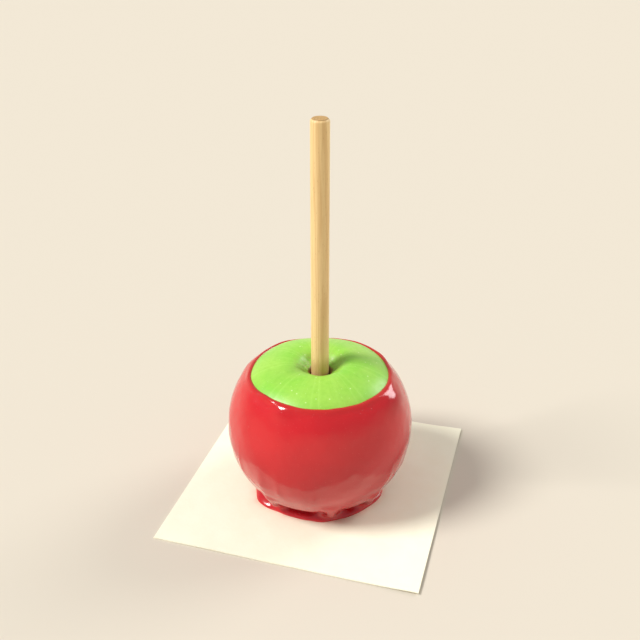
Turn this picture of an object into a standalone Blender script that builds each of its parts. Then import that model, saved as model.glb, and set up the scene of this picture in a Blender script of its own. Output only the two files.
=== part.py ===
"""Toffee apple: a green apple on a round wooden stick, dipped in red toffee and set on a square of paper.

Metres, +Z up. The origin is the middle of the paper's underside, and the paper's sides run along X and Y.
Run it with: blender --background --python part.py
"""

from math import cos, exp, pi, radians, sin, tau

import bmesh
import bpy
from mathutils import Matrix, Vector

MM = 0.001

# The gap that is left between neighbouring pieces, which touch in the real object.
GAP = 0.3 * MM

PAPER_SIDE = 113.0 * MM
PAPER_THICKNESS = 0.5 * MM

STICK_RADIUS = 3.75 * MM
STICK_LENGTH = 150.0 * MM
STICK_TOP = 168.9 * MM
STICK_CHAMFER_WIDTH = 0.8 * MM
STICK_CHAMFER_HEIGHT = 0.9 * MM
STICK_SIDES = 32

# The apple's skin as (radius, height), from the stick's hole over the shoulder to the base.
APPLE_SKIN = [
    (STICK_RADIUS + GAP, 58.2 * MM),
    (6.2 * MM, 59.6 * MM),
    (9.5 * MM, 62.6 * MM),
    (13.5 * MM, 63.9 * MM),
    (20.0 * MM, 63.0 * MM),
    (28.6 * MM, 59.0 * MM),
    (34.2 * MM, 52.4 * MM),
    (37.6 * MM, 43.6 * MM),
    (38.4 * MM, 34.4 * MM),
    (37.0 * MM, 24.6 * MM),
    (32.6 * MM, 14.6 * MM),
    (24.6 * MM, 7.4 * MM),
    (13.0 * MM, 4.1 * MM),
    (3.0 * MM, 3.2 * MM),
]
APPLE_SIDES = 56
APPLE_SPANS = 2

# The crown of the apple is faintly five-lobed, fading out towards the widest part.
LOBES = 5
LOBE_SHARE = 0.012
LOBE_TURN = radians(20)
LOBE_FADE_LOW = 36.0 * MM
LOBE_FADE_HIGH = 62.0 * MM

# The toffee covers the skin from this point of APPLE_SKIN down, and gets thicker as it runs down.
TOFFEE_EDGE_POINT = 5
TOFFEE_EDGE_THICKNESS = 0.9 * MM
TOFFEE_BASE_THICKNESS = 2.5 * MM
TOFFEE_SIDES = 86
TOFFEE_BOTTOM = PAPER_THICKNESS + GAP

# Below the undercut's start the toffee turns in at a lip to a groove, then slopes out as the foot.
UNDERCUT_START = 13.0 * MM
GROOVE = [
    (32.1 * MM, 8.9 * MM),
    (30.5 * MM, 7.6 * MM),
    (28.2 * MM, 6.7 * MM),
    (26.2 * MM, 5.6 * MM),
    (25.8 * MM, 4.2 * MM),
    (27.2 * MM, 3.1 * MM),
    (29.2 * MM, 2.0 * MM),
    (30.4 * MM, 1.2 * MM),
    (30.2 * MM, TOFFEE_BOTTOM),
]
# The same points where a drip fills the undercut.
DRIP = [
    (33.0 * MM, 9.3 * MM),
    (32.4 * MM, 7.9 * MM),
    (31.7 * MM, 6.5 * MM),
    (31.1 * MM, 5.4 * MM),
    (30.5 * MM, 4.4 * MM),
    (29.9 * MM, 3.4 * MM),
    (29.8 * MM, 2.4 * MM),
    (30.4 * MM, 1.3 * MM),
    (30.2 * MM, TOFFEE_BOTTOM),
]
# Each drip as (direction round the apple, half-width, how far it fills the undercut).
DRIPS = [
    (radians(-114), 3.0 * MM, 1.00),
    (radians(-64), 4.3 * MM, 1.00),
    (radians(-31), 3.4 * MM, 1.00),
    (radians(24), 3.2 * MM, 0.85),
    (radians(71), 4.0 * MM, 1.00),
    (radians(118), 3.0 * MM, 0.90),
    (radians(161), 3.6 * MM, 0.95),
    (radians(205), 3.0 * MM, 0.85),
]
DRIP_TAPER = 0.45

# Where the foot ran out further, as (direction, half-width, how far). Elsewhere it is drawn in a little.
FOOT_BULGES = [
    (radians(-134), 9.0 * MM, 2.9 * MM),
    (radians(-70), 6.0 * MM, 0.8 * MM),
    (radians(-8), 7.5 * MM, 1.2 * MM),
    (radians(48), 11.0 * MM, 1.7 * MM),
    (radians(122), 9.0 * MM, 2.5 * MM),
    (radians(-172), 7.0 * MM, 0.8 * MM),
]
FOOT_DRAWN_IN = 1.9 * MM

# Thick places in the coat, as (direction, height, half-width, half-height, how far they stand out).
LUMPS = [
    (radians(-10), 53.5 * MM, 9.0 * MM, 5.0 * MM, 1.1 * MM),
    (radians(-103), 56.5 * MM, 5.0 * MM, 2.6 * MM, 0.7 * MM),
    (radians(96), 51.0 * MM, 8.0 * MM, 6.0 * MM, 0.9 * MM),
    (radians(178), 55.0 * MM, 6.0 * MM, 3.5 * MM, 0.8 * MM),
]


def ramp(value, low, high):
    """0 below low, 1 above high, and a smooth step between."""
    share = min(1.0, max(0.0, (value - low) / (high - low)))
    return share * share * (3 - 2 * share)


def mixed(a, b, share):
    return a + (b - a) * share


def smooth_curve(points, spans):
    """A Catmull-Rom curve through (radius, height) points, with this many spans between neighbours."""
    points = [Vector(point) for point in points]
    ends = [2 * points[0] - points[1], *points, 2 * points[-1] - points[-2]]
    curve = []
    for before, start, end, after in zip(ends, ends[1:], ends[2:], ends[3:]):
        for step in range(spans):
            t = step / spans
            leave = (end - before) / 2
            arrive = (after - start) / 2
            curve.append(
                start * (2 * t**3 - 3 * t**2 + 1)
                + leave * (t**3 - 2 * t**2 + t)
                + end * (3 * t**2 - 2 * t**3)
                + arrive * (t**3 - t**2)
            )
    return [*curve, points[-1]]


def offset_outward(outline, index, distance):
    """The outline's point moved away from the apple, square to the outline there."""
    before = outline[max(index - 1, 0)]
    after = outline[min(index + 1, len(outline) - 1)]
    along = (after - before).normalized()
    return outline[index] + Vector((-along.y, along.x)) * distance


def lobed(radius, height, angle):
    """The radius with the crown's lobes."""
    fade = ramp(height, LOBE_FADE_LOW, LOBE_FADE_HIGH)
    return radius * (1 + LOBE_SHARE * fade * cos(LOBES * angle + LOBE_TURN))


def arc_between(angle, direction, radius):
    """How far round the apple the angle is from the direction, as a length."""
    turn = (angle - direction + pi) % tau - pi
    return turn * radius


def lumps_at(angle, radius, height):
    """How far the thick places in the coat stand out here."""
    total = 0.0
    for direction, middle, half_width, half_height, stand_out in LUMPS:
        across = arc_between(angle, direction, radius) / half_width
        up = (height - middle) / half_height
        total += stand_out * exp(-(across**2) - up**2)
    return total


def drip_share(angle, radius, down):
    """How much of the undercut drips fill here. down is 0 at its lip and 1 at the foot's outer edge."""
    share = 0.0
    for direction, half_width, reach in DRIPS:
        half_width *= 1 - DRIP_TAPER * down
        across = arc_between(angle, direction, radius) / half_width
        share = max(share, reach * exp(-(across**4)))
    return share


def foot_spread(angle, radius):
    """How far the foot's outline stands out from its circle."""
    spread = -FOOT_DRAWN_IN
    for direction, half_width, size in FOOT_BULGES:
        spread += size * exp(-((arc_between(angle, direction, radius) / half_width) ** 2))
    return spread


def ring(sides, radius_height):
    """A closed ring of points round the axis. radius_height gives the radius and height at an angle."""
    points = []
    for side in range(sides):
        angle = tau * side / sides
        radius, height = radius_height(angle)
        points.append(Vector((radius * cos(angle), radius * sin(angle), height)))
    return points


def solid_from_rings(name, rings, material):
    """A closed solid: faces between neighbouring rings, and a flat face inside each end ring."""
    shape = bmesh.new()
    rows = [[shape.verts.new(point) for point in points] for points in rings]
    for row, following in zip(rows, rows[1:]):
        for side in range(len(row)):
            after = (side + 1) % len(row)
            shape.faces.new((row[side], row[after], following[after], following[side]))
    shape.faces.new(rows[0])
    shape.faces.new(reversed(rows[-1]))
    bmesh.ops.recalc_face_normals(shape, faces=shape.faces)
    return finished(name, shape, material)


def finished(name, shape, material):
    """Turns the bmesh into a named object, shaded smooth apart from its sharp edges."""
    mesh = bpy.data.meshes.new(name)
    shape.to_mesh(mesh)
    shape.free()
    mesh.shade_smooth()
    mesh.set_sharp_from_angle(angle=radians(40))
    mesh.materials.append(material)
    made = bpy.data.objects.new(name, mesh)
    bpy.context.scene.collection.objects.link(made)
    return made


def plain_material(name, colour, roughness, coat=0.0):
    material = bpy.data.materials.new(name)
    material.use_nodes = True
    shader = material.node_tree.nodes["Principled BSDF"]
    shader.inputs["Base Color"].default_value = (*colour, 1)
    shader.inputs["Roughness"].default_value = roughness
    shader.inputs["Metallic"].default_value = 0.0
    shader.inputs["Coat Weight"].default_value = coat
    return material


def make_paper():
    """A flat square sheet of stiff greaseproof paper."""
    shape = bmesh.new()
    size = Vector((PAPER_SIDE, PAPER_SIDE, PAPER_THICKNESS))
    middle = Matrix.Translation((0, 0, PAPER_THICKNESS / 2))
    bmesh.ops.create_cube(shape, size=1, matrix=middle @ Matrix.Diagonal((*size, 1)))
    return finished("paper", shape, plain_material("paper", (0.93, 0.87, 0.72), 0.6))


def make_stick():
    """A round dowel with a chamfered top. Its lower end stands in the apple."""
    shape = bmesh.new()
    body_top = STICK_TOP - STICK_CHAMFER_HEIGHT
    bottom = STICK_TOP - STICK_LENGTH
    bmesh.ops.create_cone(
        shape,
        cap_ends=True,
        segments=STICK_SIDES,
        radius1=STICK_RADIUS,
        radius2=STICK_RADIUS,
        depth=body_top - bottom,
        matrix=Matrix.Translation((0, 0, (body_top + bottom) / 2)),
    )
    top_face = max(shape.faces, key=lambda face: face.calc_center_median().z)
    bmesh.ops.inset_region(
        shape, faces=[top_face], thickness=STICK_CHAMFER_WIDTH, depth=STICK_CHAMFER_HEIGHT
    )
    return finished("stick", shape, plain_material("wood", (0.72, 0.50, 0.25), 0.55))


def make_apple():
    """The whole apple, with the dip round its stalk end and the hole that the stick stands in."""
    hole_radius = STICK_RADIUS + GAP
    hole_bottom = STICK_TOP - STICK_LENGTH - GAP
    outline = [Vector((hole_radius, hole_bottom)), *smooth_curve(APPLE_SKIN, APPLE_SPANS)]

    def skin(point):
        return lambda angle: (lobed(point.x, point.y, angle), point.y)

    rings = [ring(APPLE_SIDES, lambda angle: outline[0])]
    rings.append(ring(APPLE_SIDES, lambda angle: outline[1]))
    rings += [ring(APPLE_SIDES, skin(point)) for point in outline[2:]]
    return solid_from_rings("apple", rings, plain_material("apple_skin", (0.40, 0.78, 0.09), 0.35))


def make_toffee():
    """The coat, its drips and the foot that it ran into: one hard piece, open at the top."""
    skin = smooth_curve(APPLE_SKIN, APPLE_SPANS)
    covered = range(TOFFEE_EDGE_POINT * APPLE_SPANS, len(skin))
    edge = skin[covered[0]]

    def coat_thickness(height):
        down = ramp(-height, -edge.y, -UNDERCUT_START)
        return mixed(TOFFEE_EDGE_THICKNESS, TOFFEE_BASE_THICKNESS, down)

    def inside(index):
        point = offset_outward(skin, index, GAP)
        return lambda angle: (lobed(point.x, point.y, angle), point.y)

    def outside(index, share):
        """A ring of the coat. share below 1 is the rounding of its upper edge."""
        point = offset_outward(skin, index, GAP + share * coat_thickness(skin[index].y))

        def at(angle):
            stand_out = share * lumps_at(angle, point.x, point.y)
            return lobed(point.x, point.y, angle) + stand_out, point.y + stand_out / 2

        return at

    def underneath(row):
        """A ring of the undercut, or of the foot below it."""
        down = row / (len(GROOVE) - 1)
        groove = Vector(GROOVE[row])
        drip = Vector(DRIP[row])

        def at(angle):
            point = groove.lerp(drip, drip_share(angle, groove.x, down))
            return point.x + foot_spread(angle, groove.x) * ramp(down, 0.45, 0.8), point.y

        return at

    shell = [i for i in covered if skin[i].y >= UNDERCUT_START]
    outlines = [inside(i) for i in reversed(covered)]
    outlines += [outside(shell[0], share) for share in (0.45, 0.85)]
    outlines += [outside(i, 1) for i in shell[1:]]
    outlines += [underneath(row) for row in range(len(GROOVE))]
    rings = [ring(TOFFEE_SIDES, at) for at in outlines]
    return solid_from_rings("toffee", rings, plain_material("toffee", (0.60, 0.02, 0.03), 0.12, coat=1.0))


def main():
    for old in list(bpy.data.objects):
        bpy.data.objects.remove(old)
    make_paper()
    make_stick()
    make_apple()
    make_toffee()


main()
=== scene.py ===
"""The looks of the toffee apple: glossy red toffee, green skin, a wooden stick and a sheet of paper.

Every length here is in millimetres, and shapes are written to their meshes in metres.
Angles run anticlockwise from +X, seen from above.
"""

from math import cos, pi, radians, sin, sqrt, tau

import bmesh
import bpy
import numpy as np
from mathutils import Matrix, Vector


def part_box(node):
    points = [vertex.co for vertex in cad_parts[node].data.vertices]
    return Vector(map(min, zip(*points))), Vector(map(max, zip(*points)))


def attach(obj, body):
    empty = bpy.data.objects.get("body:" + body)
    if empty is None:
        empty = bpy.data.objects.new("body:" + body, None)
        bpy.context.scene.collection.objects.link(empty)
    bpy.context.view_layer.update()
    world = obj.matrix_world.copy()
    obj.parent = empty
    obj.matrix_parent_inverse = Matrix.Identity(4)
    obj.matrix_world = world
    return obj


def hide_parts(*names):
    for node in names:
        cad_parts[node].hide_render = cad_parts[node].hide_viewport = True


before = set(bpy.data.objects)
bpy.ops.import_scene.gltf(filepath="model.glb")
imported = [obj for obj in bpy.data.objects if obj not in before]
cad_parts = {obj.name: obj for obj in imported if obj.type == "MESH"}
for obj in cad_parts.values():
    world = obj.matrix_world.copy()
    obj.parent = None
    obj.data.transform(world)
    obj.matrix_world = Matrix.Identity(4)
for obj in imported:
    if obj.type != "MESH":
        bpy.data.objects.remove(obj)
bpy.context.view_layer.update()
MM = 0.001


def box_mm(node):
    """The lowest and highest corner of a CAD node, in millimetres."""
    low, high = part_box(node)
    return Vector(low) / MM, Vector(high) / MM


paper_low, paper_high = box_mm("paper")
stick_low, stick_high = box_mm("stick")
apple_low, apple_high = box_mm("apple")

PAPER_TOP = paper_high.z
STICK_RADIUS = stick_high.x
APPLE_RADIUS = apple_high.x
APPLE_BASE = apple_low.z
APPLE_HEIGHT = apple_high.z - apple_low.z

# The skin from inside the stick's hole, over the crown and the side, to the middle of the base.
# Each point is a share of the apple's radius, and of its height above its base.
SKIN_OUTLINE = [
    (0.109, 0.845),
    (0.109, 0.885),
    (0.118, 0.915),
    (0.161, 0.936),
    (0.247, 0.979),
    (0.352, 1.000),
    (0.521, 0.985),
    (0.745, 0.919),
    (0.891, 0.811),
    (0.979, 0.666),
    (1.000, 0.514),
    (0.964, 0.353),
    (0.849, 0.188),
    (0.641, 0.069),
    (0.339, 0.015),
    (0.078, 0.000),
]
# The points of that outline where the toffee's edge lies, and where the hole's torn rim starts.
EDGE_POINT = 7
HOLE_RIM_POINT = 3

# The crown is faintly lobed. The lobes fade out between these heights.
LOBES = 5
LOBE_SHARE = 0.012
LOBE_TURN = radians(20)
LOBE_FADE = (36, 62)

# Where the toffee's edge hangs lower than elsewhere, as (direction in degrees, half-width, how far).
EDGE_SAGS = [
    (94, 33.0, 3.4),
    (-150, 9.0, 0.5),
    (-40, 8.0, 0.4),
]

# The toffee thickens from THIN_HEIGHT down to FULL_HEIGHT, and its edge is rounded over BEAD_WIDTH.
EDGE_THICKNESS = 0.8
SIDE_THICKNESS = 2.5
THIN_HEIGHT = 59
FULL_HEIGHT = 13
BEAD_WIDTH = 1.0
# The coat's hidden inside reaches this far into the skin, so that no gap shows.
INSET = 0.15
# How deep the toffee's colour is on the side, where its material takes 0 as palest and 1 as darkest.
SIDE_DEPTH = 0.35
# A wandering edge pulls the coat's rings along with it, less and less over this distance.
WANDER_REACH = 8
# From this height down the coat leaves the apple's own line.
UNDERCUT_HEIGHT = 16.5

# The coat's end, its lip, the groove and the foot, as (radius, height), and the same along a drip.
FOOT_BOTTOM = PAPER_TOP - 0.1
GROOVE = [
    (34.3, 12.5),
    (33.0, 10.25),
    (32.1, 8.85),
    (31.4, 8.1),
    (30.4, 7.6),
    (28.6, 6.9),
    (26.8, 6.0),
    (25.9, 5.0),
    (25.8, 4.2),
    (26.4, 3.6),
    (27.6, 2.9),
    (29.0, 2.1),
    (30.0, 1.35),
    (30.4, 0.75),
    (30.2, FOOT_BOTTOM),
]
DRIP = [
    (34.45, 12.6),
    (33.5, 10.6),
    (32.9, 9.2),
    (32.4, 7.9),
    (31.7, 6.5),
    (31.1, 5.4),
    (30.6, 4.6),
    (30.1, 3.9),
    (29.7, 3.2),
    (29.8, 2.3),
    (30.2, 1.45),
    (30.5, 0.8),
    (30.2, FOOT_BOTTOM),
]
# The lip is this share of the way along these lines, which are followed in this many rings.
LIP_SHARE = 0.2
UNDER_ROWS = 68
# Each drip as (direction in degrees, half-width, how far it fills the groove).
DRIPS = [
    (-113, 3.0, 1.00),
    (-64.5, 4.8, 1.00),
    (-31, 2.9, 1.00),
    (24, 3.0, 0.85),
    (71, 3.8, 1.00),
    (118, 2.8, 0.90),
    (161, 3.4, 0.95),
    (205, 2.8, 0.85),
]
# Where the foot ran out further, as (direction in degrees, half-width, how far).
FOOT_BULGES = [
    (-134, 9.0, 2.9),
    (-70, 6.0, 0.8),
    (-8, 7.5, 1.2),
    (48, 11.0, 1.7),
    (122, 9.0, 2.5),
    (-172, 7.0, 0.8),
]
FOOT_DRAWN_IN = 1.9
# Thick places in the coat, as (direction in degrees, height, half-width, half-height, how far out).
LUMPS = [
    (-10, 53.5, 9.0, 5.0, 1.2),
    (-103, 56.5, 5.0, 2.6, 0.8),
    (96, 51.0, 8.0, 6.0, 0.9),
    (178, 55.0, 6.0, 3.5, 0.8),
]
# Faint runs down the side, and clusters of bubbles, each placed by a seeded random draw.
RUNS = 26
BUBBLE_CLUSTERS = 46

# The stick's top edge is cut back by a chamfer this wide and this high.
CHAMFER_WIDTH = 0.8
CHAMFER_HEIGHT = 0.9
# Its sawn end is a little below the top of the CAD stick.
STICK_END = stick_high.z - 0.14
# The skin keeps this far off the stick, and the bottom of its hole this far off the stick's lower end.
RIM_GAP = 0.06
HOLE_GAP = 0.2

# The paper is this thick, and its edge at +X curls up this high, starting this far from the middle.
PAPER_THICKNESS = 0.42
CURL_HEIGHT = 0.5
CURL_START = 40

# The camera looks at a point up the middle of the object, from the front right of the paper.
VIEW_AZIMUTH = -73.71
VIEW_ELEVATION = 28.94
VIEW_DISTANCE = 367.6
VIEW_HEIGHT = 83.9
LENS = 50


# Shapes


def smooth_step(value, low, high):
    """0 below low, 1 above high, and a smooth step between."""
    share = np.clip((value - low) / (high - low), 0, 1)
    return share * share * (3 - 2 * share)


def lengths_along(curve):
    """How far along the curve each of its points is."""
    return np.concatenate([[0], np.cumsum(np.linalg.norm(np.diff(curve, axis=0), axis=1))])


def smooth_curve(points, spacing):
    """A natural cubic spline through the points, as close points about this far apart."""
    points = np.asarray(points, float)
    knots = lengths_along(points)
    gaps = np.diff(knots)
    system = np.eye(len(points))
    slopes = np.diff(points, axis=0) / gaps[:, None]
    jumps = np.zeros_like(points)
    for i in range(1, len(points) - 1):
        system[i, i - 1 : i + 2] = gaps[i - 1], 2 * (gaps[i - 1] + gaps[i]), gaps[i]
        jumps[i] = 6 * (slopes[i] - slopes[i - 1])
    bends = np.linalg.solve(system, jumps)
    at = np.linspace(0, knots[-1], max(2, round(knots[-1] / spacing)))
    i = np.clip(np.searchsorted(knots, at, side="right") - 1, 0, len(gaps) - 1)
    b = ((at - knots[i]) / gaps[i])[:, None]
    a = 1 - b
    bent = ((a**3 - a) * bends[i] + (b**3 - b) * bends[i + 1]) * gaps[i][:, None] ** 2 / 6
    return a * points[i] + b * points[i + 1] + bent


def walk(curve, distances):
    """The radii, heights and outward directions at these distances along an outline of close points."""
    along = lengths_along(curve)
    forward = np.gradient(curve, along, axis=0)
    forward /= np.linalg.norm(forward, axis=1, keepdims=True)
    columns = (curve[:, 0], curve[:, 1], -forward[:, 1], forward[:, 0])
    return [np.interp(distances, along, column) for column in columns]


def arc(angle, direction, radius):
    """How far round the axis the angles are from the direction, as a length."""
    return ((angle - radians(direction) + pi) % tau - pi) * radius


def soft_noise(points, wavelength, seed):
    """Smooth noise, mostly between -1 and 1, with bumps of about this wavelength, the same each run."""
    rng = np.random.default_rng(seed)
    count = 30
    directions = rng.normal(size=(count, 3))
    directions /= np.linalg.norm(directions, axis=1, keepdims=True)
    pitch = tau / wavelength * rng.uniform(0.7, 1.3, size=(count, 1))
    turns = rng.uniform(0, tau, size=count)
    return np.sin(points @ (directions * pitch).T + turns).sum(axis=-1) / sqrt(2 * count)


def turned(radius, height, angle):
    """Points at these radii and heights round the axis: rows of radius and height, columns of angle."""
    radius, height, angle = np.broadcast_arrays(radius, height, angle)
    return np.stack([radius * np.cos(angle), radius * np.sin(angle), height], axis=-1)


def ring_mesh(name, points):
    """A closed mesh through rings of points (rows, sides, 3), with a point inside each end ring."""
    rows, sides = points.shape[:2]
    corner = np.arange(rows * sides).reshape(rows, sides)
    after = np.roll(corner, -1, axis=1)
    quads = np.stack([corner[:-1], after[:-1], after[1:], corner[1:]], axis=-1).reshape(-1, 4)
    first, last = rows * sides, rows * sides + 1
    fans = [(a, first, b) for a, b in zip(after[0].tolist(), corner[0].tolist())]
    fans += [(a, last, b) for a, b in zip(corner[-1].tolist(), after[-1].tolist())]
    ends = [points[0].mean(axis=0), points[-1].mean(axis=0)]
    everything = np.concatenate([points.reshape(-1, 3), ends]) * MM
    mesh = bpy.data.meshes.new(name)
    mesh.from_pydata(everything.tolist(), [], quads.tolist() + fans)
    smooth_outward(mesh)
    return mesh


def smooth_outward(mesh):
    """Turns the mesh's faces outward and shades them smooth."""
    shape = bmesh.new()
    shape.from_mesh(mesh)
    bmesh.ops.recalc_face_normals(shape, faces=shape.faces)
    shape.to_mesh(mesh)
    shape.free()
    mesh.shade_smooth()


def store(mesh, name, values):
    """Keeps a number for each point of the mesh, for its material to read."""
    layer = mesh.attributes.new(name, "FLOAT", "POINT")
    layer.data.foreach_set("value", np.array(values, dtype=np.float32))


def store_on_rings(mesh, name, values):
    """Keeps a number for each ring point. The two end points copy the first and the last of them."""
    values = values.reshape(-1)
    store(mesh, name, np.concatenate([values, [values[0], values[-1]]]))


def add_piece(name, mesh, material, node):
    """Puts a mesh in the scene as a piece, in place of a CAD node where one is named."""
    mesh.materials.append(material)
    piece = bpy.data.objects.new(name, mesh)
    bpy.context.scene.collection.objects.link(piece)
    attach(piece, "root")
    if node:
        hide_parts(node)


def skin_points():
    """The points of SKIN_OUTLINE as radii and heights."""
    return np.array(SKIN_OUTLINE) * (APPLE_RADIUS, APPLE_HEIGHT) + (0, APPLE_BASE)


def distance_to(curve, outline_point):
    """How far along the skin a point of SKIN_OUTLINE is."""
    nearest = np.linalg.norm(curve - skin_points()[outline_point], axis=1).argmin()
    return lengths_along(curve)[nearest]


def uneven(radius, height, angle):
    """The apple's radius with its five faint lobes and its own lopsidedness."""
    fade = smooth_step(height, *LOBE_FADE)
    lobes = LOBE_SHARE * fade * np.cos(LOBES * angle + LOBE_TURN)
    lopsided = 0.006 * soft_noise(turned(radius, height, angle), 60, seed=3)
    return radius * (1 + lobes + lopsided)


def make_apple(skin):
    sides = 300
    angle = tau * np.arange(sides) / sides
    # Rings lie close together on the crown, and further apart where the toffee hides the skin.
    crown = np.arange(0, distance_to(skin, EDGE_POINT) + 3, 0.35)
    hidden = np.linspace(crown[-1] + 1.5, lengths_along(skin)[-1], 36)
    distance = np.concatenate([crown, hidden])[:, None]
    radius, height, out_r, out_z = walk(skin, distance)

    # Low swells on the crown, folds in the dip, and a pushed-in, puckered edge round the stick.
    past_rim = distance - distance_to(skin, HOLE_RIM_POINT)
    base = turned(radius, height, angle)
    swell = 0.25 * soft_noise(base, 22, seed=5) * smooth_step(radius, 6, 16)
    folds = soft_noise(turned(8, 0, angle), 9, seed=6) * np.exp(-(((radius - 7.5) / 2.4) ** 2))
    pucker = soft_noise(base, 2.6, seed=7) * np.exp(-((past_rim / 1.5) ** 2))
    crown_only = smooth_step(height, 54, 60)
    stand_out = (swell + 0.22 * folds + 0.12 * pucker) * crown_only

    radius = uneven(radius + out_r * stand_out, height, angle)
    radius = np.maximum(radius, STICK_RADIUS + RIM_GAP)
    height = height + out_z * stand_out
    hole_bottom = np.full((1, sides), STICK_RADIUS + HOLE_GAP)
    radius = np.concatenate([hole_bottom, radius])
    height = np.concatenate([np.full((1, sides), stick_low.z - HOLE_GAP), height])

    mesh = ring_mesh("apple_skin", turned(radius, height, angle))
    torn = soft_noise(turned(5, 0, angle), 3.0, seed=8)
    browned = 1 - smooth_step(past_rim + 0.35 * torn, -1.6, -0.6)
    browned = np.concatenate([np.ones((1, sides)), np.broadcast_to(browned, (len(distance), sides))])
    # The dip mask places the russet, and painted shade that darkens the green down in the dip.
    dip = 1 - smooth_step(radius + 1.2 * soft_noise(turned(radius, height, angle), 5, seed=9), 5.5, 12)
    store_on_rings(mesh, "browned", browned)
    store_on_rings(mesh, "dip", dip)
    add_piece("apple_skin", mesh, skin_material(), "apple")


def lumps(angle, radius, height):
    total = 0
    for direction, middle, half_width, half_height, stand_out in LUMPS:
        across = arc(angle, direction, radius) / half_width
        up = (height - middle) / half_height
        total = total + stand_out * np.exp(-(across**2) - up**2)
    return total


def runs(angle, radius, height):
    """Faint ridges where the toffee ran down the side, each ending in a soft bead."""
    rng = np.random.default_rng(21)
    total = 0
    for _ in range(RUNS):
        direction = rng.uniform(0, 360)
        half_width = rng.uniform(1.3, 3.2)
        top = rng.uniform(22, 50)
        end = rng.uniform(7, 24)
        height_of_run = rng.uniform(0.10, 0.34)
        lean = rng.uniform(-0.06, 0.06)
        across = (arc(angle, direction, radius) + lean * (height - end)) / half_width
        along = smooth_step(-height, -top, -end) * smooth_step(height, end - 3.0, end)
        total = total + height_of_run * along * np.exp(-(across**2))
    for direction, half_width, reach in DRIPS:
        across = arc(angle, direction, radius) / (half_width * 1.1)
        total = total + 0.45 * reach * smooth_step(-height, -24, -10) * np.exp(-(across**2))
    return total


def drip_share(angle, down):
    """How much of the groove drips fill, and how near this is to the crest of a drip.

    down is 0 at the coat's lip, 1 at the foot's outer edge, and below 0 above the lip.
    """
    flare = 0.35 * smooth_step(-down, -0.35, 0) + 0.55 * smooth_step(-down, -0.14, 0.02)
    waist = 0.8 + flare + 0.75 * smooth_step(down, 0.5, 0.8)
    share = np.zeros(np.broadcast_shapes(angle.shape, down.shape))
    crest = share.copy()
    for direction, half_width, reach in DRIPS:
        across = np.abs(arc(angle, direction, 31)) / (half_width * waist)
        share = np.maximum(share, reach * np.exp(-(across**2.6)))
        crest = np.maximum(crest, reach * np.exp(-((across / 0.62) ** 2)))
    return share, crest * smooth_step(down, -0.25, 0.05) * (1 - smooth_step(down, 0.5, 0.8))


def edge_wander(angle):
    """How far along the skin the toffee's edge lies from its even ring. Further is lower."""
    ring = turned(28, 0, angle)
    wander = 0.32 * soft_noise(ring, 26, seed=31) + 0.13 * soft_noise(ring, 7, seed=32)
    for direction, half_width, drop in EDGE_SAGS:
        wander = wander + drop * np.exp(-((arc(angle, direction, 28) / half_width) ** 2))
    return wander


def foot_spread(angle):
    spread = -FOOT_DRAWN_IN
    for direction, half_width, size in FOOT_BULGES:
        spread = spread + size * np.exp(-((arc(angle, direction, 29) / half_width) ** 2))
    return spread + 0.16 * soft_noise(turned(30, 0, angle), 8, seed=12)


def relaxed(points, first_row, rounds):
    """Evens out the rings from first_row down, by averaging each point with its neighbours."""
    points = points.copy()
    fade = smooth_step(np.arange(len(points)), first_row, first_row + 8)[1:-1, None, None]
    for _ in range(rounds):
        around = (np.roll(points, 1, axis=1) + np.roll(points, -1, axis=1))[1:-1]
        mean = (around + points[:-2] + points[2:]) / 4
        points[1:-1] += 0.5 * fade * (mean - points[1:-1])
    return points


def coat_thickness(height):
    down = smooth_step(-height, -THIN_HEIGHT, -FULL_HEIGHT)
    return EDGE_THICKNESS + (SIDE_THICKNESS - EDGE_THICKNESS) * down


def distance_down_to(curve, height):
    """How far along the skin its side comes down to this height."""
    # Past its first third the curve only comes down.
    past_crown = len(curve) // 3
    return np.interp(-height, -curve[past_crown:, 1], lengths_along(curve)[past_crown:])


def coat_inside(skin, angle, edge, wander):
    """The hidden inside of the cup, from the middle of its base up to the edge."""
    skin_end = lengths_along(skin)[-1]
    up_the_side = np.linspace(skin_end, edge + 3, 16)
    distance = np.concatenate([up_the_side, [edge + 1.5, edge + 0.5, edge]])[:, None]
    r, z, out_r, out_z = walk(skin, distance + wander * np.exp(-(distance - edge) / WANDER_REACH))
    return turned(uneven(r - INSET * out_r, z, angle), z - INSET * out_z, angle)


def coat_outside(skin, angle, edge, undercut, wander):
    """The outside of the coat, from its rolled edge to where it turns under.

    Also gives its colour's depth, how near each point is to the thin edge, and how far runs stand out.
    """
    bead = np.array([0, 0.02, 0.08, 0.18, 0.3, 0.45, 0.62, 0.8, 1.0, 1.25, 1.6])
    past_edge = np.concatenate([bead, np.linspace(2.0, undercut - edge, 98)])[:, None]
    r, z, out_r, out_z = walk(skin, edge + past_edge + wander * np.exp(-past_edge / WANDER_REACH))
    rounding = np.sqrt(1 - (1 - np.clip(past_edge / BEAD_WIDTH, 0, 1)) ** 2)
    full = coat_thickness(z)
    swollen = 1 + 0.6 * soft_noise(turned(28, 0, angle), 9, seed=33)
    rolled = 0.28 * np.exp(-(((past_edge - 1.4) / 1.3) ** 2)) * swollen
    base = turned(r, z, angle)
    ripple = 0.17 * soft_noise(base, 17, seed=34) + 0.045 * soft_noise(base, 6, seed=35)
    relief = (ripple + runs(angle, r, z) + lumps(angle, r, z)) * smooth_step(past_edge, 0, 3)
    thickness = rounding * (full + rolled) + relief
    points = turned(uneven(r + thickness * out_r, z, angle), z + thickness * out_z, angle)
    depth = SIDE_DEPTH * smooth_step(full, EDGE_THICKNESS, SIDE_THICKNESS) + 0.25 * (relief - 0.1)
    thin = np.broadcast_to(np.exp(-past_edge / 1.1), depth.shape)
    return points, depth, thin, relief


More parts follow.
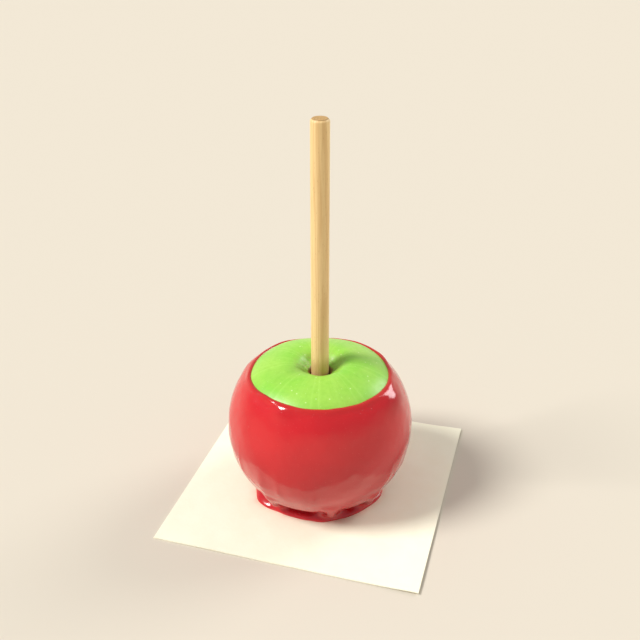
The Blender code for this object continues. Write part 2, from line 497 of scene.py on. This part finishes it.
def coat_underneath(skin, angle, undercut, relief):
    """The groove, the drips across it, and the foot, and how deep the toffee's colour is there, with
    painted shade in the groove.

    relief is how far the coat's last ring stands out. It fades out below the lip.
    """
    lead_in = np.array([undercut - 6, undercut - 3, undercut])
    lead_r, lead_z, out_r, out_z = walk(skin, lead_in)
    thickness = coat_thickness(lead_z)
    lead = np.stack([lead_r + thickness * out_r, lead_z + thickness * out_z], axis=1).tolist()
    groove_r, groove_z = below_lead(lead, GROOVE)
    drip_r, drip_z = below_lead(lead, DRIP)
    down = ((np.arange(1, UNDER_ROWS + 1) / UNDER_ROWS - LIP_SHARE) / (1 - LIP_SHARE))[:, None]
    share, crest = drip_share(angle, down)
    relief = relief * (1 - smooth_step(down, 0, 0.35))
    r = groove_r + share * (drip_r - groove_r) + relief * out_r[-1] + 0.9 * crest
    z = groove_z + share * (drip_z - groove_z) + relief * out_z[-1]
    r = r + foot_spread(angle) * smooth_step(down, 0.42 + 0.15 * share, 0.75)
    on_top = smooth_step(down, 0.5, 0.6) * (1 - smooth_step(down, 0.8, 0.95))
    z = z + 0.12 * on_top * soft_noise(turned(r, z, angle), 7, seed=36)
    # Painted shade: the colour is made darker down the middle of the groove, less so on the drips.
    painted_groove_shade = np.exp(-(((down - 0.45) / 0.22) ** 2)) * (1 - 0.6 * share)
    return turned(r, z, angle), SIDE_DEPTH + 0.5 * painted_groove_shade


def below_lead(lead, outline):
    """The radii and heights of UNDER_ROWS even steps along the outline, past its lead-in."""
    curve = smooth_curve(lead + outline, 0.05)
    curve = curve[np.linalg.norm(curve - lead[-1], axis=1).argmin() :]
    steps = np.linspace(0, lengths_along(curve)[-1], UNDER_ROWS + 1)[1:]
    radius, height = walk(curve, steps)[:2]
    return radius[:, None], height[:, None]


def make_toffee(skin, material):
    """The coat as one closed mesh. Gives its outer rings and how deep their colour is, painted shade in
    the groove included.
    """
    sides = 480
    angle = tau * np.arange(sides) / sides
    edge = distance_to(skin, EDGE_POINT)
    undercut = distance_down_to(skin, UNDERCUT_HEIGHT)
    wander = edge_wander(angle)
    inside = coat_inside(skin, angle, edge, wander)
    outside, outside_depth, outside_thin, relief = coat_outside(skin, angle, edge, undercut, wander)
    below, below_depth_and_shade = coat_underneath(skin, angle, undercut, relief[-1])

    points = np.concatenate([inside, outside, below])
    points = relaxed(points, len(inside) + len(outside) - 12, rounds=8)
    points[-1, :, 2] = FOOT_BOTTOM
    mesh = ring_mesh("toffee_coat", points)
    hidden = np.zeros(inside.shape[:2])
    far_from_edge = np.zeros(below.shape[:2])
    depth = np.concatenate([outside_depth, below_depth_and_shade])
    store_on_rings(mesh, "depth", np.concatenate([hidden, depth]))
    store_on_rings(mesh, "thin_edge", np.concatenate([hidden + 1, outside_thin, far_from_edge]))
    add_piece("toffee_coat", mesh, material, "toffee")
    return points[len(inside) :], depth


def make_bubbles(surface, depth, material):
    """Small blisters set in the toffee in loose clusters, most of them near the foot and the edge."""
    rng = np.random.default_rng(51)
    rows, sides = surface.shape[:2]
    # Each stretch of the coat as (first ring, last ring, most blisters in a cluster).
    stretches = {"edge": (12, 20, 5), "side": (22, 112, 3), "foot": (rows - 22, rows - 5, 6)}
    around = np.roll(surface, -1, axis=1) - np.roll(surface, 1, axis=1)
    down = np.gradient(surface, axis=0)
    normal = np.cross(down, around)
    normal /= np.linalg.norm(normal, axis=-1, keepdims=True)
    places = []
    for _ in range(BUBBLE_CLUSTERS):
        low, high, most = stretches[rng.choice(["edge", "side", "foot"], p=[0.2, 0.3, 0.5])]
        row, side = rng.integers(low, high), rng.integers(0, sides)
        for _ in range(rng.integers(1, most + 1)):
            near_row = int(np.clip(row + rng.normal(0, 2.2), low, high - 1))
            near_side = int(side + rng.normal(0, 3.5)) % sides
            places.append((near_row, near_side, rng.uniform(0.14, 0.42)))
    shape = bmesh.new()
    deepness = []
    for row, side, size in places:
        up = Vector(normal[row, side])
        turn = up.to_track_quat("Z", "Y").to_matrix()
        made = bmesh.ops.create_icosphere(shape, subdivisions=3, radius=size)
        squash = rng.uniform(0.45, 0.7)
        middle = Vector(surface[row, side]) - up * size * squash * 0.45
        for vertex in made["verts"]:
            vertex.co.z *= squash
            vertex.co = (turn @ vertex.co + middle) * MM
            deepness.append(depth[row, side] - 0.12)
    mesh = bpy.data.meshes.new("toffee_bubbles")
    shape.to_mesh(mesh)
    shape.free()
    mesh.shade_smooth()
    store(mesh, "depth", deepness)
    add_piece("toffee_bubbles", mesh, material, None)


def make_stick():
    sides = 96
    angle = tau * np.arange(sides) / sides
    shoulder = STICK_END - CHAMFER_HEIGHT
    shaft = np.arange(stick_low.z, shoulder - 0.5, 1.0)
    # The chamfer's two edges are rubbed round. Each point is (share of its width, share of its height).
    lower_edge = [(0.0, -0.15), (0.015, -0.03), (0.07, 0.06), (0.17, 0.18)]
    upper_edge = [(0.82, 0.83), (0.92, 0.93), (1.03, 0.985), (1.2, 1.0)]
    end_face = [(1.9, 1.0), (2.8, 1.0), (3.7, 1.0)]
    end = np.array(lower_edge + upper_edge + end_face)
    shaft_radius = np.full(len(shaft), STICK_RADIUS)
    radius = np.concatenate([shaft_radius, STICK_RADIUS - CHAMFER_WIDTH * end[:, 0]])[:, None]
    height = np.concatenate([shaft, shoulder + CHAMFER_HEIGHT * end[:, 1]])[:, None]
    points = turned(radius, height, angle)
    # Long shallow hollows and ridges along the grain, from the dowel cutter.
    grain = 0.03 * soft_noise(points * (1, 1, 0.06), 2.4, seed=41) + 0.02 * soft_noise(points, 28, seed=42)
    radius = radius + np.minimum(grain, 0.0) * (radius / STICK_RADIUS)
    mesh = ring_mesh("wooden_stick", turned(radius, height, angle))
    add_piece("wooden_stick", mesh, wood_material(), "stick")


def make_paper():
    """The square sheet, cut clean, cockled a little where it has dried, with its edge at +X curled up."""
    count = 112
    x = np.linspace(paper_low.x, paper_high.x, count)
    y = np.linspace(paper_low.y, paper_high.y, count)
    across, along = np.meshgrid(x, y, indexing="ij")
    from_middle = np.hypot(across, along)
    curl = CURL_HEIGHT * smooth_step(across, CURL_START, paper_high.x)
    flat = np.stack([across, along, np.zeros_like(across)], axis=-1)
    waves = 0.16 * soft_noise(flat, 42, seed=61) + 0.04 * soft_noise(flat, 15, seed=62)
    raised = curl + np.maximum(waves + 0.08, 0) * smooth_step(from_middle, 31, 42)
    top = np.stack([across, along, PAPER_TOP + raised], axis=-1)
    bottom = top - (0, 0, PAPER_THICKNESS)
    corner = np.arange(count * count).reshape(count, count)
    around = [corner[:-1, :-1], corner[1:, :-1], corner[1:, 1:], corner[:-1, 1:]]
    quads = np.stack(around, axis=-1).reshape(-1, 4)
    under = quads[:, ::-1] + count * count
    rim = np.concatenate([corner[:, 0], corner[-1, 1:], corner[-2::-1, -1], corner[0, -2:0:-1]])
    after = np.roll(rim, -1)
    sides = np.stack([rim, rim + count * count, after + count * count, after], axis=-1)
    mesh = bpy.data.meshes.new("paper_square")
    points = np.concatenate([top.reshape(-1, 3), bottom.reshape(-1, 3)]) * MM
    mesh.from_pydata(points.tolist(), [], np.concatenate([quads, under, sides]).tolist())
    smooth_outward(mesh)
    mesh.set_sharp_from_angle(angle=radians(50))
    angle = np.arctan2(along, across)
    past_foot = from_middle - 30 - foot_spread(angle)
    # A syrup stain round the foot. Its pink is also painted red light bounced off the toffee.
    syrup_stain_and_bounce = np.exp(-np.maximum(past_foot + 0.8 * soft_noise(flat, 6, seed=63), 0) / 1.6)
    store(mesh, "syrup_stain_and_bounce", np.tile(syrup_stain_and_bounce.reshape(-1), 2))
    add_piece("paper_square", mesh, paper_material(), "paper")


# Materials


def add(tree, kind, inputs=None, **settings):
    """Adds a shader node. inputs maps its sockets to values, or to other nodes' outputs."""
    made = tree.nodes.new("ShaderNode" + kind)
    for name, value in settings.items():
        setattr(made, name, value)
    for socket, value in (inputs or {}).items():
        if isinstance(value, bpy.types.NodeSocket):
            tree.links.new(value, made.inputs[socket])
        else:
            made.inputs[socket].default_value = value
    return made


def start_material(name, **values):
    """A material, its node tree and its Principled shader, with these values set on its sockets."""
    material = bpy.data.materials.new(name)
    material.use_nodes = True
    shader = material.node_tree.nodes["Principled BSDF"]
    for socket, value in values.items():
        shader.inputs[socket.replace("_", " ")].default_value = value
    return material, material.node_tree, shader


def millimetres(tree, stretch=(1, 1, 1)):
    """The place on the object in millimetres, with each axis multiplied by its stretch."""
    place = add(tree, "TexCoord").outputs["Object"]
    scale = tuple(s / MM for s in stretch)
    return add(tree, "VectorMath", {0: place, 1: scale}, operation="MULTIPLY").outputs[0]


def noise(tree, place, per_mm, detail=2.0, roughness=0.5, distortion=0.0):
    inputs = {
        "Vector": place,
        "Scale": per_mm,
        "Detail": detail,
        "Roughness": roughness,
        "Distortion": distortion,
    }
    return add(tree, "TexNoise", inputs).outputs["Fac"]


def maths(tree, operation, a, b=0.0, c=0.0):
    return add(tree, "Math", {0: a, 1: b, 2: c}, operation=operation).outputs[0]


def spread(tree, value, low, high, to_low=0.0, to_high=1.0):
    """Maps low..high to to_low..to_high, smoothly and clamped."""
    inputs = {"Value": value, "From Min": low, "From Max": high, "To Min": to_low, "To Max": to_high}
    return add(tree, "MapRange", inputs, interpolation_type="SMOOTHSTEP").outputs["Result"]


def mixed(tree, share, a, b):
    """Colour a mixed towards colour b. Either is a colour of three numbers or another node's output."""
    made = add(tree, "Mix", data_type="RGBA")
    for socket, value in ((made.inputs["Factor"], share), (made.inputs[6], a), (made.inputs[7], b)):
        if isinstance(value, bpy.types.NodeSocket):
            tree.links.new(value, socket)
        elif isinstance(value, tuple):
            socket.default_value = (*value, 1)
        else:
            socket.default_value = value
    return made.outputs[2]


def attribute(tree, name):
    return add(tree, "Attribute", attribute_name=name).outputs["Fac"]


def dots(tree, place, per_mm, size, keep):
    """Round spots. size is their radius as a share of their spacing, and keep is the share that shows."""
    cells = add(tree, "TexVoronoi", {"Vector": place, "Scale": per_mm})
    near = spread(tree, cells.outputs["Distance"], size, size * 0.45)
    drawn = add(tree, "SeparateColor", {0: cells.outputs["Color"]}).outputs[0]
    shown = maths(tree, "LESS_THAN", drawn, keep)
    return maths(tree, "MULTIPLY", near, shown)


def bumped(tree, shader, pattern, height, before=None):
    """Feeds the shader a bump this many millimetres high, on top of an earlier one if there is one."""
    inputs = {"Height": pattern, "Distance": height * MM}
    if before is not None:
        inputs["Normal"] = before
    normal = add(tree, "Bump", inputs).outputs["Normal"]
    tree.links.new(normal, shader.inputs["Normal"])
    return normal


def toffee_material():
    """Hard clear-red toffee: dark where it is thick, darkest in the groove under the coat as painted
    shade, browner at its thin edge, with fine bubbles.
    """
    material, tree, shader = start_material(
        "toffee_gloss",
        Roughness=0.16,
        IOR=1.5,
        Coat_Weight=0.25,
        Coat_Roughness=0.07,
        Subsurface_Weight=0.18,
        Subsurface_Radius=(1.0, 0.12, 0.1),
        Subsurface_Scale=2.0 * MM,
    )
    place = millimetres(tree)
    cloud = noise(tree, place, 0.07, detail=3)
    depth = maths(tree, "MULTIPLY_ADD", cloud, 0.35, attribute(tree, "depth"))
    red = mixed(tree, spread(tree, depth, 0.1, 0.6), (0.61, 0.010, 0.016), (0.50, 0.006, 0.012))
    # The darkest red is reached mostly in the groove, where it is painted shade.
    red = mixed(tree, spread(tree, depth, 0.55, 1.0), red, (0.23, 0.002, 0.004))
    thin_edge = maths(tree, "MULTIPLY", attribute(tree, "thin_edge"), 0.7)
    red = mixed(tree, thin_edge, red, (0.38, 0.04, 0.013))
    specks = dots(tree, place, 0.85, 0.16, 0.35)
    fine_specks = dots(tree, place, 2.2, 0.2, 0.3)
    red = mixed(tree, maths(tree, "MULTIPLY", specks, 0.3), red, (0.80, 0.12, 0.11))
    red = mixed(tree, maths(tree, "MULTIPLY", fine_specks, 0.18), red, (0.80, 0.10, 0.10))
    tree.links.new(red, shader.inputs["Base Color"])
    smudge = noise(tree, place, 0.12, detail=4, roughness=0.6)
    tree.links.new(spread(tree, smudge, 0.4, 0.75, 0.12, 0.24), shader.inputs["Roughness"])
    waves = bumped(tree, shader, noise(tree, place, 0.22, detail=2), 0.10)
    bumped(tree, shader, specks, 0.02, before=waves)
    return material


def skin_material():
    """Waxy green skin: pale dots, faint streaks, a russet dip with its green darkened as painted shade,
    and browned flesh at the stick.
    """
    material, tree, shader = start_material(
        "apple_green",
        Roughness=0.36,
        IOR=1.45,
        Coat_Weight=0.12,
        Coat_Roughness=0.18,
        Subsurface_Weight=0.12,
        Subsurface_Radius=(0.6, 1.0, 0.2),
        Subsurface_Scale=1.5 * MM,
    )
    place = millimetres(tree)
    cloud = noise(tree, place, 0.055, detail=3)
    mottle = noise(tree, place, 0.6, detail=4, roughness=0.6)
    green = mixed(tree, spread(tree, cloud, 0.35, 0.68), (0.265, 0.635, 0.053), (0.37, 0.675, 0.086))
    green = mixed(tree, spread(tree, mottle, 0.35, 0.8, 0, 0.35), green, (0.215, 0.54, 0.037))
    streaks = radial_streaks(tree, place)
    green = mixed(tree, maths(tree, "MULTIPLY", streaks, 0.3), green, (0.55, 0.84, 0.2))
    pale = dots(tree, place, 0.30, 0.13, 0.85)
    small = dots(tree, place, 0.62, 0.14, 0.6)
    green = mixed(tree, maths(tree, "MULTIPLY", pale, 0.65), green, (0.72, 0.88, 0.42))
    green = mixed(tree, maths(tree, "MULTIPLY", small, 0.4), green, (0.66, 0.87, 0.36))
    russet_noise = noise(tree, place, 0.9, detail=5, roughness=0.7)
    dip = attribute(tree, "dip")
    russet = maths(tree, "MULTIPLY", dip, spread(tree, russet_noise, 0.42, 0.62))
    # Painted shade: the green is made darker down in the dip.
    colour = mixed(tree, maths(tree, "MULTIPLY", dip, 0.5), green, (0.22, 0.52, 0.04))
    colour = mixed(tree, maths(tree, "MULTIPLY", russet, 0.5), colour, (0.36, 0.30, 0.08))
    browned = attribute(tree, "browned")
    flesh = mixed(tree, noise(tree, place, 1.3, detail=4), (0.15, 0.075, 0.016), (0.30, 0.17, 0.036))
    colour = mixed(tree, browned, colour, flesh)
    tree.links.new(colour, shader.inputs["Base Color"])
    dull = maths(tree, "MULTIPLY_ADD", dip, 0.25, spread(tree, mottle, 0.3, 0.8, 0.33, 0.46))
    tree.links.new(dull, shader.inputs["Roughness"])
    peel = bumped(tree, shader, noise(tree, place, 1.1, detail=3), 0.035)
    bumped(tree, shader, maths(tree, "ADD", pale, russet), 0.03, before=peel)
    return material


def radial_streaks(tree, place):
    """Fine pale streaks that run out from the apple's middle."""
    parts = add(tree, "SeparateXYZ", {0: place})
    turn = maths(tree, "ARCTAN2", parts.outputs[1], parts.outputs[0])
    around = maths(tree, "MULTIPLY", turn, 9.0)
    distance = add(tree, "VectorMath", {0: place}, operation="LENGTH").outputs["Value"]
    wobble = maths(tree, "MULTIPLY", distance, 0.05)
    inputs = {0: maths(tree, "SINE", around), 1: maths(tree, "COSINE", around), 2: wobble}
    folded = add(tree, "CombineXYZ", inputs)
    fibres = noise(tree, folded.outputs[0], 2.2, detail=5, roughness=0.65)
    return spread(tree, fibres, 0.5, 0.72)


def wood_material():
    """Pale dowel: growth bands, fine fibres and short dark pores along it, rings on its sawn end, and
    painted shade on the rounded edge round that end.
    """
    material, tree, shader = start_material("dowel_wood", Roughness=0.55, IOR=1.45)
    place = millimetres(tree)
    long_place = millimetres(tree, (1, 1, 0.035))
    drift = noise(tree, long_place, 0.35, detail=2)
    parts = add(tree, "SeparateXYZ", {0: place})
    band_place = maths(tree, "MULTIPLY_ADD", drift, 5.0, maths(tree, "MULTIPLY", parts.outputs[0], 0.9))
    bands = maths(tree, "SINE", maths(tree, "MULTIPLY", band_place, 4.2))
    wood = mixed(tree, spread(tree, bands, -0.6, 1.0), (0.86, 0.615, 0.29), (0.775, 0.52, 0.23))
    fibres = noise(tree, long_place, 3.2, detail=5, roughness=0.7)
    wood = mixed(tree, spread(tree, fibres, 0.45, 0.75, 0, 0.5), wood, (0.66, 0.42, 0.17))
    pores = dots(tree, millimetres(tree, (2.4, 2.4, 0.42)), 1.0, 0.2, 0.4)
    wood = mixed(tree, maths(tree, "MULTIPLY", pores, 0.5), wood, (0.42, 0.22, 0.08))
    end_grain = spread(tree, parts.outputs[2], STICK_END - 0.32, STICK_END - 0.16)
    rings = maths(tree, "SINE", maths(tree, "MULTIPLY", band_place, 9.0))
    end_wood = mixed(tree, spread(tree, rings, -0.6, 1.0), (0.56, 0.34, 0.125), (0.46, 0.27, 0.095))
    # Painted shade: a dark band on the rounded edge between the chamfer and the sawn end.
    rim = spread(tree, parts.outputs[2], STICK_END - 0.01, STICK_END - 0.14)
    end_wood = mixed(tree, maths(tree, "MULTIPLY", rim, 0.7), end_wood, (0.30, 0.165, 0.055))
    wood = mixed(tree, end_grain, wood, end_wood)
    damp_noise = noise(tree, long_place, 0.9, detail=3)
    damp_height = maths(tree, "MULTIPLY_ADD", damp_noise, -9.0, parts.outputs[2])
    damp = spread(tree, damp_height, apple_high.z, apple_high.z - 6.0)
    wood = mixed(tree, maths(tree, "MULTIPLY", damp, 0.5), wood, (0.50, 0.26, 0.09))
    tree.links.new(wood, shader.inputs["Base Color"])
    tree.links.new(spread(tree, fibres, 0.3, 0.8, 0.45, 0.68), shader.inputs["Roughness"])
    grain = bumped(tree, shader, fibres, 0.05)
    bumped(tree, shader, pores, -0.05, before=grain)
    return material


def paper_material():
    """Cream greaseproof paper: cloudy fibres, a fine tooth, and a thin pink syrup stain round the foot,
    whose pink also stands in for red light bounced off the toffee as a painted reflection.
    """
    material, tree, shader = start_material("cream_paper", Roughness=0.62, IOR=1.45)
    place = millimetres(tree)
    cloud = noise(tree, place, 0.10, detail=4, roughness=0.6)
    fibre = noise(tree, place, 1.4, detail=4, roughness=0.7, distortion=1.2)
    cream = mixed(tree, spread(tree, cloud, 0.3, 0.7), (0.975, 0.955, 0.755), (0.965, 0.935, 0.725))
    cream = mixed(tree, spread(tree, fibre, 0.45, 0.75, 0, 0.3), cream, (0.94, 0.90, 0.67))
    flecks = dots(tree, place, 0.35, 0.05, 0.35)
    cream = mixed(tree, maths(tree, "MULTIPLY", flecks, 0.5), cream, (0.66, 0.55, 0.35))
    syrup_stain_and_bounce = attribute(tree, "syrup_stain_and_bounce")
    # Painted reflection in part: the pink round the foot also stands for red light bounced off the toffee.
    cream = mixed(tree, maths(tree, "MULTIPLY", syrup_stain_and_bounce, 0.45), cream, (0.90, 0.45, 0.32))
    tree.links.new(cream, shader.inputs["Base Color"])
    tree.links.new(spread(tree, syrup_stain_and_bounce, 0.0, 1.0, 0.62, 0.3), shader.inputs["Roughness"])
    tooth = bumped(tree, shader, fibre, 0.02)
    bumped(tree, shader, cloud, 0.15, before=tooth)
    return material


# The stage


def toward(azimuth, elevation):
    """The direction at this azimuth, anticlockwise from +X, and elevation, in degrees."""
    a, e = radians(azimuth), radians(elevation)
    return Vector((cos(a) * cos(e), sin(a) * cos(e), sin(e)))


def make_floor():
    mesh = bpy.data.meshes.new("floor")
    reach = 30_000 * MM
    corners = [(-reach, -reach, 0), (reach, -reach, 0), (reach, reach, 0), (-reach, reach, 0)]
    mesh.from_pydata(corners, [], [(0, 1, 2, 3)])
    material, _, _ = start_material(
        "pale_floor",
        Base_Color=(0.677, 0.614, 0.507, 1),
        Roughness=0.9,
        Specular_IOR_Level=0.0,
    )
    mesh.materials.append(material)
    floor = bpy.data.objects.new("floor", mesh)
    bpy.context.scene.collection.objects.link(floor)


def make_world():
    """A pale room: as bright as the floor at the horizon and darker overhead."""
    world = bpy.data.worlds.new("pale_room")
    bpy.context.scene.world = world
    world.use_nodes = True
    tree = world.node_tree
    direction = add(tree, "TexCoord").outputs["Generated"]
    height = add(tree, "SeparateXYZ", {0: direction}).outputs[2]
    colour = mixed(tree, spread(tree, height, 0.0, 0.5), (0.888, 0.807, 0.665), (0.385, 0.39, 0.405))
    tree.links.new(colour, tree.nodes["Background"].inputs["Color"])


def make_sun(name, azimuth, elevation, strength, softness):
    light = bpy.data.lights.new(name, "SUN")
    light.energy = strength
    light.angle = radians(softness)
    lamp = bpy.data.objects.new(name, light)
    lamp.rotation_euler = toward(azimuth, elevation).to_track_quat("Z", "Y").to_euler()
    bpy.context.scene.collection.objects.link(lamp)


def make_camera():
    data = bpy.data.cameras.new("camera")
    data.lens = LENS
    camera = bpy.data.objects.new("camera", data)
    away = toward(VIEW_AZIMUTH, VIEW_ELEVATION)
    camera.location = (Vector((0, 0, VIEW_HEIGHT)) + away * VIEW_DISTANCE) * MM
    camera.rotation_euler = away.to_track_quat("Z", "Y").to_euler()
    bpy.context.scene.collection.objects.link(camera)
    bpy.context.scene.camera = camera


def make_stage():
    bpy.context.scene.view_settings.view_transform = "Standard"
    make_floor()
    make_world()
    make_sun("key", azimuth=208.3, elevation=45, strength=3.15, softness=20)
    make_sun("fill", azimuth=48.3, elevation=30, strength=1.2, softness=26)
    make_camera()


make_stage()
skin = smooth_curve(skin_points(), 0.1)
make_apple(skin)
toffee = toffee_material()
toffee_surface, toffee_depth = make_toffee(skin, toffee)
make_bubbles(toffee_surface, toffee_depth, toffee)
make_stick()
make_paper()
